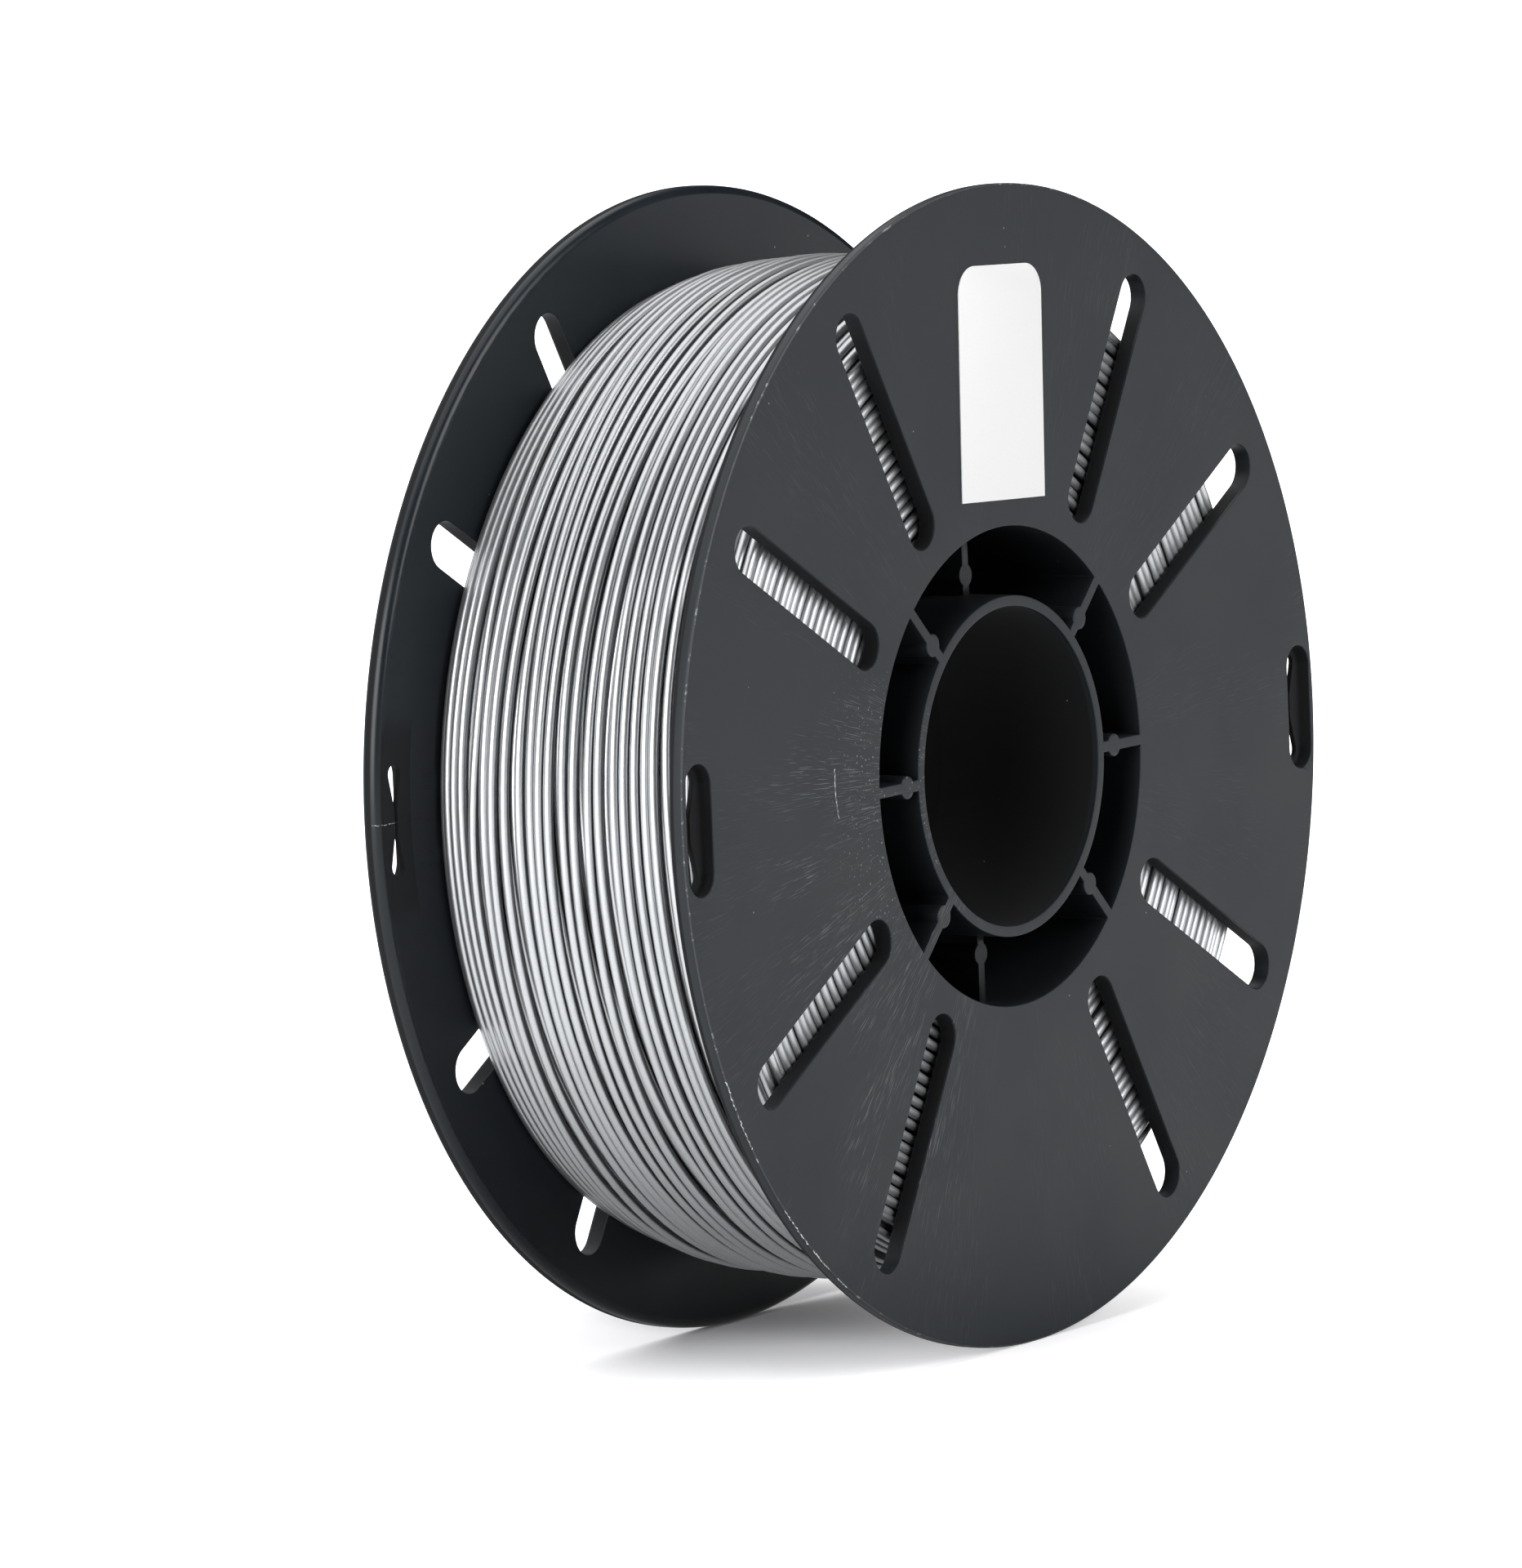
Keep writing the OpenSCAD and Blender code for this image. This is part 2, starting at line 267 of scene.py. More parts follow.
def pale_marks(tree, point, radius, x_part, z_part, side):
    """The scratches of the outer faces, and all pale marks with wear and dust among them."""
    depth = calc(tree, "ABSOLUTE", side)
    outer_face = fade(tree, depth, HALF_W - 0.3 * MM, HALF_W - 0.1 * MM)
    scratches = calc(tree, "MULTIPLY", outer_face,
                     face_scratches(tree, point, radius, x_part, z_part, side))
    specks = calc(tree, "MULTIPLY", spots(tree, point, 190, 0.036, 0.34), SPECK_PALENESS)
    pale = calc(tree, "MAXIMUM", scratches, worn_corner(tree, point, radius, depth))
    return scratches, calc(tree, "MAXIMUM", pale, specks)


def rim_gloss_and_shade(tree, radius, depth, side):
    """Where the rims are dull and where they are glossy.

    The far rim is glossy on its rounding and dull on its side, and the near rim the other way.
    The dull parts also get painted shade in the plastic.
    """
    far = fade(tree, side, -1 * MM, 1 * MM)
    near = calc(tree, "SUBTRACT", 1.0, far)
    rounding = between(tree, depth, INNER_HALF_W - 1 * MM, INNER_HALF_W + 1.5 * MM, 0.2 * MM)
    rounding = calc(tree, "MULTIPLY", rounding,
                    fade(tree, radius, FLANGE_R - 1.8 * MM, FLANGE_R - 1.2 * MM))
    flat = between(tree, depth, INNER_HALF_W + 1.6 * MM, HALF_W - 0.5 * MM, 0.2 * MM)
    flat = calc(tree, "MULTIPLY", fade(tree, radius, FLANGE_R - 0.5 * MM, FLANGE_R - 0.2 * MM),
                flat)
    dull = calc(tree, "ADD", calc(tree, "MULTIPLY", rounding, near),
                calc(tree, "MULTIPLY", flat, far))
    glossy = calc(tree, "ADD", calc(tree, "MULTIPLY", rounding, far),
                  calc(tree, "MULTIPLY", calc(tree, "MULTIPLY", flat, near), NEAR_RIM_GLOSS))
    return dull, glossy


def hollow_places(tree, radius, depth, x_part):
    """The places given painted shade: the clip pockets and slot walls together, the whole inside
    of the hub, and the bore.
    """
    pockets = calc(tree, "MULTIPLY",
                   between(tree, depth, INNER_HALF_W, HALF_W - 0.3 * MM, 0.05 * MM),
                   between(tree, radius, CLIP_R - 4.2 * MM, CLIP_R + 4.1 * MM, 0.1 * MM))
    pockets = calc(tree, "MULTIPLY", pockets,
                   fade(tree, calc(tree, "ABSOLUTE", x_part), 0.98, 0.99))
    walls = calc(tree, "MULTIPLY", fade(tree, radius, SLOT_SHADE_FROM, SLOT_SHADE_TO),
                 between(tree, depth, INNER_HALF_W + 0.2 * MM, HALF_W - 0.4 * MM, 0.1 * MM))
    walls = calc(tree, "MULTIPLY", walls, fade(tree, radius, DRUM_R, DRUM_R + 1 * MM))
    hub = calc(tree, "MULTIPLY", fade(tree, radius, HUB_R + 0.6 * MM, HUB_R + 0.2 * MM),
               fade(tree, depth, HALF_W - 0.4 * MM, HALF_W - 1.5 * MM))
    bore = calc(tree, "MULTIPLY", hub, fade(tree, radius, BORE_R + 0.6 * MM, BORE_R + 0.3 * MM))
    return calc(tree, "MAXIMUM", pockets, walls), hub, bore


def moulded_plastic():
    """Satin charcoal plastic with a fine grain, scratches and dust, and painted shade in its dull
    hollows, its hub and parts of its rims.
    """
    material, tree, shader = new_material("charcoal_plastic")
    point = object_point(tree)
    radius, x_part, z_part, side = round_the_axis(tree, point)
    depth = calc(tree, "ABSOLUTE", side)
    scratches, pale = pale_marks(tree, point, radius, x_part, z_part, side)
    openings, hub, bore = hollow_places(tree, radius, depth, x_part)
    shaded_dull_rims, glossy_rims = rim_gloss_and_shade(tree, radius, depth, side)
    # painted shade: the hollows, the dull parts of the rims, the bore and the hub are darkened
    # towards black
    dull = calc(tree, "MAXIMUM", openings, calc(tree, "MAXIMUM", shaded_dull_rims, bore))
    dark = calc(tree, "MAXIMUM", calc(tree, "MULTIPLY", dull, HOLLOW_PAINTED_SHADE),
                calc(tree, "MULTIPLY", hub, HUB_PAINTED_SHADE))

    clouds = noise(tree, point, 35, 4)
    colour = blend_colour(tree, fade(tree, clouds, 0.3, 0.7),
                          (0.0085, 0.0120, 0.0155, 1), (0.0112, 0.0150, 0.0190, 1))
    colour = blend_colour(tree, dark, colour, (0.003, 0.003, 0.0035, 1))
    colour = blend_colour(tree, pale, colour, (0.46, 0.47, 0.48, 1))
    tree.links.new(colour, shader.inputs["Base Color"])
    satin = fade(tree, clouds, 0.3, 0.7, 0.46, 0.54)
    satin = calc(tree, "SUBTRACT", satin, calc(tree, "MULTIPLY", glossy_rims, RIM_GLOSS))
    satin = calc(tree, "ADD", satin, calc(tree, "MULTIPLY", dull, HOLLOW_DULLNESS))
    tree.links.new(satin, shader.inputs["Roughness"])
    shader.inputs["Specular IOR Level"].default_value = 0.31
    grain = noise(tree, point, 5200, 2)
    height = calc(tree, "ADD", grain, calc(tree, "MULTIPLY", scratches, 2.0))
    bump = add_node(tree, "Bump", {"Strength": 0.3, "Distance": 0.02 * MM, "Height": height})
    tree.links.new(bump.outputs[0], shader.inputs["Normal"])
    return material


def torn_plastic():
    """The pale torn plastic of a burr."""
    material, tree, shader = new_material("torn_plastic")
    shade = noise(tree, object_point(tree), 1500, 3, 0.6)
    colour = blend_colour(tree, fade(tree, shade, 0.4, 0.6),
                          (0.16, 0.165, 0.17, 1), (0.8, 0.8, 0.79, 1))
    tree.links.new(colour, shader.inputs["Base Color"])
    tree.links.new(fade(tree, shade, 0.3, 0.7, 0.5, 0.7), shader.inputs["Roughness"])
    return material


def openness(tree, coordinates, faces_sideways):
    """How squarely a strand's surface faces out of the winding, which is little in a groove.

    Strands that lie beside a flange face sideways, along the axis, and the others outwards.
    """
    facing = add_node(tree, "SeparateXYZ", {0: coordinates["Normal"]}).outputs
    sideways = calc(tree, "ABSOLUTE", facing["Y"])
    if faces_sideways:
        return sideways
    _, x_part, z_part, side = round_the_axis(tree, coordinates["Object"])
    outwards = calc(tree, "ADD", calc(tree, "MULTIPLY", facing["X"], x_part),
                    calc(tree, "MULTIPLY", facing["Z"], z_part))
    beside = fade(tree, calc(tree, "ABSOLUTE", side), LAYER_END, LAYER_END + 0.4 * MM)
    return calc(tree, "MAXIMUM", outwards, calc(tree, "MULTIPLY", sideways, beside))


def silver_strand(name, faces_sideways):
    """Extruded plastic with fine metal flake, soft wide highlights, and painted shade in its
    grooves.
    """
    material, tree, shader = new_material(name)
    coordinates = add_node(tree, "TexCoord").outputs
    point = coordinates["Object"]
    flake = noise(tree, point, 9000, 2, 0.7)
    shade = noise(tree, point, 90, 3)
    colour = blend_colour(tree, fade(tree, flake, 0.35, 0.65),
                          (0.50, 0.515, 0.53, 1), (0.62, 0.635, 0.65, 1))
    colour = blend_colour(tree, fade(tree, shade, 0.35, 0.75, 0.0, 0.2),
                          colour, (0.44, 0.455, 0.465, 1))
    # painted shade: the colour darkens where the surface turns into a groove
    groove = fade(tree, openness(tree, coordinates, faces_sideways),
                  0.0, 0.6, GROOVE_PAINTED_SHADE, 0.0)
    colour = blend_colour(tree, groove, colour, (0.05, 0.052, 0.055, 1))
    tree.links.new(colour, shader.inputs["Base Color"])
    shader.inputs["Metallic"].default_value = 0.92
    rough = 0.42 if faces_sideways else 0.34
    tree.links.new(fade(tree, flake, 0.3, 0.7, rough, rough + 0.08), shader.inputs["Roughness"])
    bump = add_node(tree, "Bump", {"Strength": 0.1, "Distance": 0.01 * MM, "Height": flake})
    tree.links.new(bump.outputs[0], shader.inputs["Normal"])
    return material


def label_paper():
    """Coated white paper with a faint fibre grain."""
    material, tree, shader = new_material("label_paper")
    point = object_point(tree)
    fibres = noise(tree, point, 2600, 4, 0.7)
    colour = blend_colour(tree, fade(tree, fibres, 0.3, 0.7),
                          (0.92, 0.92, 0.915, 1), (0.96, 0.96, 0.955, 1))
    tree.links.new(colour, shader.inputs["Base Color"])
    tree.links.new(fade(tree, fibres, 0.3, 0.7, 0.38, 0.48), shader.inputs["Roughness"])
    bump = add_node(tree, "Bump", {"Strength": 0.2, "Distance": 0.01 * MM, "Height": fibres})
    tree.links.new(bump.outputs[0], shader.inputs["Normal"])
    return material


# ---------------------------------------------------------------- making pieces

def add_piece(name, mesh, material, replaced=()):
    """Links a finished mesh as a piece of the spool."""
    mesh.materials.clear()
    mesh.materials.append(material)
    piece = bpy.data.objects.new(name, mesh)
    bpy.context.scene.collection.objects.link(piece)
    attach(piece, "root")
    if replaced:
        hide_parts(*replaced)
    return piece


def tube_mesh(name, path, radius, resolution):
    """Round tube with closed ends along a list of points."""
    curve = bpy.data.curves.new(name, "CURVE")
    curve.dimensions = "3D"
    curve.bevel_depth = radius
    curve.bevel_resolution = resolution
    curve.use_fill_caps = True
    spline = curve.splines.new("POLY")
    spline.points.add(len(path) - 1)
    for spot, place in zip(spline.points, path):
        spot.co = (*place, 1)
    holder = bpy.data.objects.new(name + "_line", curve)
    bpy.context.scene.collection.objects.link(holder)
    bpy.context.view_layer.update()
    mesh = bpy.data.meshes.new_from_object(holder)
    bpy.data.objects.remove(holder)
    bpy.data.curves.remove(curve)
    mesh.name = name
    mesh.shade_smooth()
    return mesh


def mesh_of(form, name):
    """Turns a finished bmesh into a mesh whose faces point outwards."""
    bmesh.ops.recalc_face_normals(form, faces=form.faces)
    mesh = bpy.data.meshes.new(name)
    form.to_mesh(mesh)
    form.free()
    return mesh


def lathed(form, outline, steps):
    """Spins a closed outline of (radius, y) round the spool's axis."""
    spots = [form.verts.new((radius, y, 0)) for radius, y in outline]
    edges = [form.edges.new(pair) for pair in zip(spots, spots[1:] + spots[:1])]
    bmesh.ops.spin(form, geom=spots + edges, cent=(0, 0, 0), axis=(0, 1, 0), angle=TURN,
                   steps=steps, use_merge=True)


def extruded(form, outline, turn, y_from, y_to):
    """A flat outline of (outward, sideways) turned round the axis and given a thickness."""
    c, s = math.cos(math.radians(turn)), math.sin(math.radians(turn))
    spots = [form.verts.new((u * c - v * s, y_from, u * s + v * c)) for u, v in outline]
    face = form.faces.new(spots)
    pushed = bmesh.ops.extrude_face_region(form, geom=[face])["geom"]
    moved = [part for part in pushed if isinstance(part, bmesh.types.BMVert)]
    bmesh.ops.translate(form, verts=moved, vec=(0, y_to - y_from, 0))


def arc(cx, cy, radius, start, end, steps):
    """Points on an arc between two angles in degrees."""
    angles = [math.radians(start + (end - start) * i / steps) for i in range(steps + 1)]
    return [(cx + radius * math.cos(a), cy + radius * math.sin(a)) for a in angles]


def circle_point(radius, angle, y):
    return Vector((radius * math.cos(angle), y, radius * math.sin(angle)))


# ---------------------------------------------------------------- moulded halves

def slot_outline():
    r = SLOT_W / 2
    return (arc(SLOT_OUTER_R - r, 0, r, -90, 90, ARC_STEPS)
            + arc(SLOT_INNER_R + r, 0, r, 90, 270, ARC_STEPS))


def pocket_outline():
    r, reach = POCKET_W / 2, (POCKET_L - POCKET_W) / 2
    return (arc(CLIP_R, reach, r, 0, 180, ARC_STEPS)
            + arc(CLIP_R, -reach, r, 180, 360, ARC_STEPS))


def clip_outline(hole_r):
    """Two round holes that taper towards the narrow neck between them."""
    lean = math.degrees(math.asin((hole_r - CLIP_NECK_W / 2) / (CLIP_HOLE_AT - CLIP_NECK_L / 2)))
    upper = arc(CLIP_R, CLIP_HOLE_AT, hole_r, -lean, 180 + lean, ARC_STEPS)
    lower = arc(CLIP_R, -CLIP_HOLE_AT, hole_r, 180 - lean, 360 + lean, ARC_STEPS)
    neck = [(CLIP_R + side * CLIP_NECK_W / 2, end * CLIP_NECK_L / 2)
            for side, end in ((-1, 1), (-1, -1), (1, -1), (1, 1))]
    return upper + neck[:2] + lower + neck[2:]


def web_outline():
    """A web with the round bulge of its ejector pad."""
    half = WEB_T / 2
    bulge = math.degrees(math.asin(half / PAD_R))
    inner, outer = TUBE_R - WEB_BITE, HUB_R + WEB_BITE
    return ([(outer, half)] + arc(PAD_AT, 0, PAD_R, bulge, 180 - bulge, 12)
            + [(inner, half), (inner, -half)]
            + arc(PAD_AT, 0, PAD_R, 180 + bulge, 360 - bulge, 12) + [(outer, -half)])


def flange_and_drum_outline(side):
    """Section through rim, flange and drum as (radius, y); side -1 is the near half."""
    face, inner_face = side * HALF_W, side * INNER_HALF_W
    outer_rim = [(r, side * y) for r, y in arc(FLANGE_R - RIM_OUTER_R, HALF_W - RIM_OUTER_R,
                                               RIM_OUTER_R, 90, 0, 7)]
    inner_rim = [(r, side * y) for r, y in arc(FLANGE_R - RIM_INNER_R, INNER_HALF_W + RIM_INNER_R,
                                               RIM_INNER_R, 0, -90, 7)]
    if side < 0:
        lap = [(LAP_R - LAP_PLAY / 2, 0), (LAP_R - LAP_PLAY / 2, LAP_L), (HUB_R, LAP_L)]
    else:
        lap = [(LAP_R + LAP_PLAY / 2, 0), (LAP_R + LAP_PLAY / 2, LAP_L + 2 * LAP_PLAY),
               (HUB_R, LAP_L + 2 * LAP_PLAY)]
    return ([(HUB_R, face)] + outer_rim + inner_rim + [(DRUM_R, inner_face), (DRUM_R, 0)] + lap)


def combine(name, base, steps):
    """Applies exact booleans one after another and returns the resulting mesh."""
    holder = bpy.data.objects.new(name, base)
    bpy.context.scene.collection.objects.link(holder)
    tools = []
    for operation, mesh in steps:
        tool = bpy.data.objects.new(name + "_tool", mesh)
        bpy.context.scene.collection.objects.link(tool)
        boolean = holder.modifiers.new(operation, "BOOLEAN")
        boolean.operation = operation
        boolean.solver = "EXACT"
        boolean.object = tool
        tools.append(tool)
    bpy.context.view_layer.update()
    result = bpy.data.meshes.new_from_object(holder.evaluated_get(
        bpy.context.evaluated_depsgraph_get()))
    for spare in [holder] + tools:
        bpy.data.objects.remove(spare)
    result.name = name
    return result


def round_edges(mesh, width):
    """Rounds the sharp outer edges that lie flat in a face of the moulding."""
    form = bmesh.new()
    form.from_mesh(mesh)
    bmesh.ops.remove_doubles(form, verts=form.verts, dist=0.002 * MM)
    bmesh.ops.dissolve_limit(form, angle_limit=math.radians(0.3), verts=form.verts,
                             edges=form.edges)
    level, square = 0.001 * MM, math.radians(60)
    sharp = [edge for edge in form.edges
             if len(edge.link_faces) == 2 and edge.is_convex
             and edge.calc_face_angle() > square
             and abs(edge.verts[0].co.y - edge.verts[1].co.y) < level
             and abs(edge.verts[0].co.y) > 10 * level]
    bmesh.ops.bevel(form, geom=sharp, offset=width, offset_type="OFFSET",
                    segments=EDGE_SEGMENTS, profile=0.5, affect="EDGES", material=-1,
                    clamp_overlap=False)
    bmesh.ops.triangulate(form, faces=[f for f in form.faces if len(f.verts) > 4])
    form.to_mesh(mesh)
    form.free()
    mesh.shade_smooth()


def moulded_half(name, side):
    """Flange, drum, centre tube and webs as one moulding, with slots and clips cut through."""
    face, past = side * HALF_W, side * (HALF_W + 1 * MM)
    through = side * (INNER_HALF_W - 1 * MM)
    body, tube, webs, slots, pockets, holes = (bmesh.new() for _ in range(6))
    lathed(body, flange_and_drum_outline(side), steps=360)
    lathed(tube, [(BORE_R, face), (TUBE_R, face), (TUBE_R, 0), (BORE_R, 0)], steps=180)
    for number in range(WEB_COUNT):
        turn = number * 360 / WEB_COUNT
        recessed = turn in (90, 270)
        extruded(webs, web_outline(), turn, face - side * WEB_RECESS * recessed, 0)
    for turn in SLOT_ANGLES:
        extruded(slots, slot_outline(), turn, past, through)
    for turn in CLIP_ANGLES:
        extruded(pockets, pocket_outline(), turn, past, face - side * POCKET_DEPTH)
        extruded(holes, clip_outline(CLIP_HOLE_R[side]), turn, past, through)
    mesh = combine(name, mesh_of(body, name), [
        ("UNION", mesh_of(webs, "webs")), ("UNION", mesh_of(tube, "tube")),
        ("DIFFERENCE", mesh_of(slots, "slots")), ("DIFFERENCE", mesh_of(pockets, "pockets")),
        ("DIFFERENCE", mesh_of(holes, "clip_holes"))])
    round_edges(mesh, EDGE_ROUNDING)
    return mesh


def burr(name, path, radius=BURR_R):
    """A thin ragged thread of torn plastic along a line, as one closed tube."""
    dice = random.Random(name)
    ragged = [place + Vector([dice.uniform(-1, 1) * radius for _ in range(3)]) for place in path]
    return tube_mesh(name, ragged, radius, resolution=0)


def rim_burr(number, start, end):
    """A burr on the outer corner of the near rim."""
    angles = np.radians(np.arange(start, end, RIM_BURR_STEP))
    return burr(f"near_rim_burr_{number}", [
        circle_point(FLANGE_R - BURR_R, angle, BURR_R - HALF_W) for angle in angles])


def far_seam():
    """The seam of the moulding on the inner face of the far flange."""
    return burr("far_flange_seam", [
        circle_point(radius, math.radians(SEAM_ANGLE), INNER_HALF_W)
        for radius in np.linspace(SEAM_FROM, SEAM_TO, 30)], SEAM_R)


def far_flash():
    """The torn end of that seam, which follows the rounding of the rim."""
    angle = math.radians(SEAM_ANGLE)
    rounding = arc(FLANGE_R - RIM_INNER_R, -INNER_HALF_W - RIM_INNER_R, RIM_INNER_R, 90, 5, 10)
    path = [circle_point(radius, angle, INNER_HALF_W)
            for radius in np.linspace(FLASH_FROM, FLASH_TO, 8)]
    path += [circle_point(radius, angle, -y) for radius, y in rounding]
    return burr("far_rim_burr", path, FLASH_R)


def face_curl():
    """A curled burr on the face of the near flange."""
    start, end = CURL_ANGLES
    return burr("near_face_burr", [
        circle_point(CURL_R - CURL_BEND * share * share,
                     math.radians(start + (end - start) * share), -HALF_W)
        for share in np.linspace(0, 1, 20)])


# ---------------------------------------------------------------- winding

def crown_at(y):
    """How far the winding bulges past its ends, at a place across it."""
    return CROWN_H * np.sqrt(1 - (y / INNER_HALF_W) ** 2)


def swell_at(angles):
    """How far the winding stands out or in at its thick and thin places."""
    total = np.zeros_like(angles)
    for middle, width, height in SWELLS:
        turned = (np.degrees(angles) - middle + 180) % 360 - 180
        total += height * MM * np.exp(-(turned / width) ** 2)
    return total


def loose_layer(turns, seed):
    """Distance from the first flange at each step of a layer, in which gaps open and close.

    The turns lie close, and the space left over is shared out among gaps that each last for
    a part of a turn. Where a gap leans, a turn crosses it from one group to the next. Beside
    each flange the strand dwells for most of a turn.
    """
    dice = np.random.default_rng(seed)
    along = np.arange(turns * STEPS + 1) / STEPS
    space, opened = np.zeros_like(along), np.zeros_like(along)
    for _ in range(GAPS_PER_TURN * turns):
        middle, size = dice.uniform(0, turns), dice.random() ** GAP_CHOICE
        length = dice.uniform(*GAP_LENGTH)
        lean = dice.choice(GAP_LEANS)
        turned = (along - middle + 0.5) % 1 - 0.5
        width = size * np.exp(-(turned / length) ** 2)
        past = along - middle - turned + lean * turned + 0.5 * (lean == 0)
        share = np.clip(past / GAP_CROSSING + 0.5, 0, 1)
        space += width
        opened += width * share * share * (3 - 2 * share)
    slack = 2 * LAYER_END - (turns - 2 * DWELL) * TIGHT_PITCH
    distance = (along - DWELL) * TIGHT_PITCH + slack * opened / space
    return np.clip(distance, 0, 2 * LAYER_END)


def lifts_along(count, seed):
    """How far each step stands out because of the uneven turns that it lies on."""
    dice = np.random.default_rng(seed)
    knots = np.arange(count / (LIFT_SPACING * STEPS) + 2) * LIFT_SPACING * STEPS
    return np.interp(np.arange(count), knots, dice.uniform(*LIFTS, len(knots)))


def leaving_angle(radius):
    """Where a tangent from the winding meets the lower hole of the clip at +X."""
    reach = math.sqrt(CLIP_R ** 2 + CLIP_HOLE_AT ** 2 - radius ** 2)
    return -math.atan2(CLIP_HOLE_AT, CLIP_R) - math.atan2(reach, radius), reach


def rested(ys, radii, first):
    """Radii of the steps from the first one on, which rest on the turns that they cross."""
    steps = np.arange(first, len(ys))
    for turns_back in range(1, len(ys) // STEPS + 1):
        below = steps - turns_back * STEPS
        crossed = steps[(below >= 0) & (below < first)]
        below = crossed - turns_back * STEPS
        height = STRAND_D ** 2 - (ys[crossed] - ys[below]) ** 2
        rest = radii[below] + np.sqrt(np.clip(height, 0, None))
        radii[crossed] = np.where(height > 0, np.maximum(radii[crossed], rest), radii[crossed])
    return radii


def smoothed(values, reach):
    window = np.ones(2 * reach + 1) / (2 * reach + 1)
    return np.convolve(np.pad(values, reach, mode="edge"), window, mode="valid")


def tail_points(radius, y):
    """Straight off the winding, then a quarter bend through the clip of the far flange."""
    angle, reach = leaving_angle(radius)
    out = Vector((math.cos(angle), 0, math.sin(angle)))
    on = Vector((-math.sin(angle), 0, math.cos(angle)))
    straight = reach - TAIL_SHIFT
    points = []
    for step in range(1, TAIL_STEPS + 1):
        share = step / TAIL_STEPS
        drift = (LAYER_END - y) * share * share * (3 - 2 * share)
        points.append(radius * out + share * straight * on + Vector((0, y + drift, 0)))
    corner = points[-1]
    for step in range(1, TAIL_STEPS + 1):
        bend = math.radians(90) * step / TAIL_STEPS
        turned = math.sin(bend) * on + Vector((0, 1 - math.cos(bend), 0))
        points.append(corner + TAIL_BEND * turned)
    points.append(Vector((points[-1].x, HALF_W - TAIL_STOP, points[-1].z)))
    return points


def wound_strand():
    """The two outer layers and the end in the clip, as one unbroken line."""
    ys = np.concatenate((LAYER_END - loose_layer(UNDER_TURNS, seed=UNDER_SEED)[:-1],
                         loose_layer(TOP_TURNS, seed=TOP_SEED) - LAYER_END))
    end_angle = leaving_angle(WOUND_R)[0]
    angles = end_angle + (np.arange(len(ys)) - len(ys) + 1) * TURN / STEPS
    radii = UNDER_R + crown_at(ys) + swell_at(angles)
    radii = rested(ys, radii, UNDER_TURNS * STEPS) + lifts_along(len(ys), LIFT_SEED)
    radii = smoothed(radii, LIFT_SMOOTHING)
    path = [circle_point(r, a, y) for r, a, y in zip(radii, angles, ys)]
    return path + tail_points(float(radii[-1]), float(ys[-1]))


def side_stack(side, seed, groups):
    """The turns that show beside a flange, from the drum out, with a gap before each group."""
    dice = random.Random(seed)
    steps_out = []
    for turns in groups:
        steps_out += [STRAND_D + STACK_GAP]
        steps_out += [STRAND_D + STACK_SLACK * dice.random() for _ in range(turns - 1)]
    end = UNDER_R + crown_at(LAYER_END) - STACK_SINK
    radii = STACK_START + (end - STACK_START) * np.cumsum([0.0] + steps_out) / sum(steps_out)
    turns = len(radii) - 1
    recess = [dice.choice(STACK_RECESSES) for _ in range(turns + 1)]
    along = np.arange(turns * STEPS + 1) / STEPS
    outward = np.interp(along, range(turns + 1), radii)
    outward += swell_at(along * TURN) * (outward - STACK_START) / (end - STACK_START)
    inward = np.interp(along, range(turns + 1), recess)
    return [circle_point(r, a * TURN, side * (LAYER_END - i)) for a, r, i in
            zip(along, outward, inward)]


def inner_layers_mesh():
    """Ribbed ring behind the strands that show, lathed from a row of round crests."""
    half = LAYER_END - CORE_RECESS
    crown = [Vector((UNDER_R - CORE_DEPTH + crown_at(y), y, 0))
             for y in np.linspace(-half, half, CORE_CORNERS)]
    corners = [Vector((CORE_R, -half, 0))] + crown + [Vector((CORE_R, half, 0))]
    outline = []
    for start, end in zip(corners, corners[1:]):
        run = end - start
        outward = Vector((run.y, -run.x, 0)).normalized() * STRAND_R
        count = max(1, round(run.length / STRAND_D))
        outline += [start + run * (i + j / len(CORE_BUMP)) / count + outward * bump
                    for i in range(count) for j, bump in enumerate(CORE_BUMP)]
    form = bmesh.new()
    lathed(form, [(place.x, place.y) for place in outline + corners[-1:]], steps=120)
    mesh = mesh_of(form, "filament_inner_layers")
    mesh.shade_smooth()
    return mesh


# ---------------------------------------------------------------- pieces

plastic = moulded_plastic()
silver = silver_strand("silver_strand", faces_sideways=False)
silver_side = silver_strand("silver_side_strand", faces_sideways=True)
paper = label_paper()

for node, side in (("near_half", -1), ("far_half", 1)):
    name = node + "_moulding"
    moulding = add_piece(name, moulded_half(name, side), plastic, [node])
    flat_faces = moulding.modifiers.new("flat_faces", "WEIGHTED_NORMAL")
    flat_faces.weight = 100
    flat_faces.keep_sharp = True

outer_turns = tube_mesh("filament_outer_turns", wound_strand(), STRAND_R, resolution=4)
add_piece(outer_turns.name, outer_turns, silver, ["filament_turns"])
for side, side_name in ((-1, "near"), (1, "far")):
    stack = side_stack(side, STACK_SEEDS[side_name], STACK_GROUPS[side_name])
    side_turns = tube_mesh("filament_" + side_name + "_side", stack, STRAND_R, resolution=3)
    add_piece(side_turns.name, side_turns, silver_side)
add_piece("filament_inner_layers", inner_layers_mesh(), silver, ["filament_core"])

torn = torn_plastic()
for number, (start, end) in enumerate(RIM_BURRS):
    mesh = rim_burr(number, start, end)
    add_piece(mesh.name, mesh, torn)
for mesh, material in ((far_seam(), plastic), (far_flash(), torn), (face_curl(), torn)):
    add_piece(mesh.name, mesh, material)

label_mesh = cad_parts["label"].data.copy()
round_edges(label_mesh, LABEL_ROUNDING)
add_piece("label_sticker", label_mesh, paper, ["label"])


# ---------------------------------------------------------------- stage

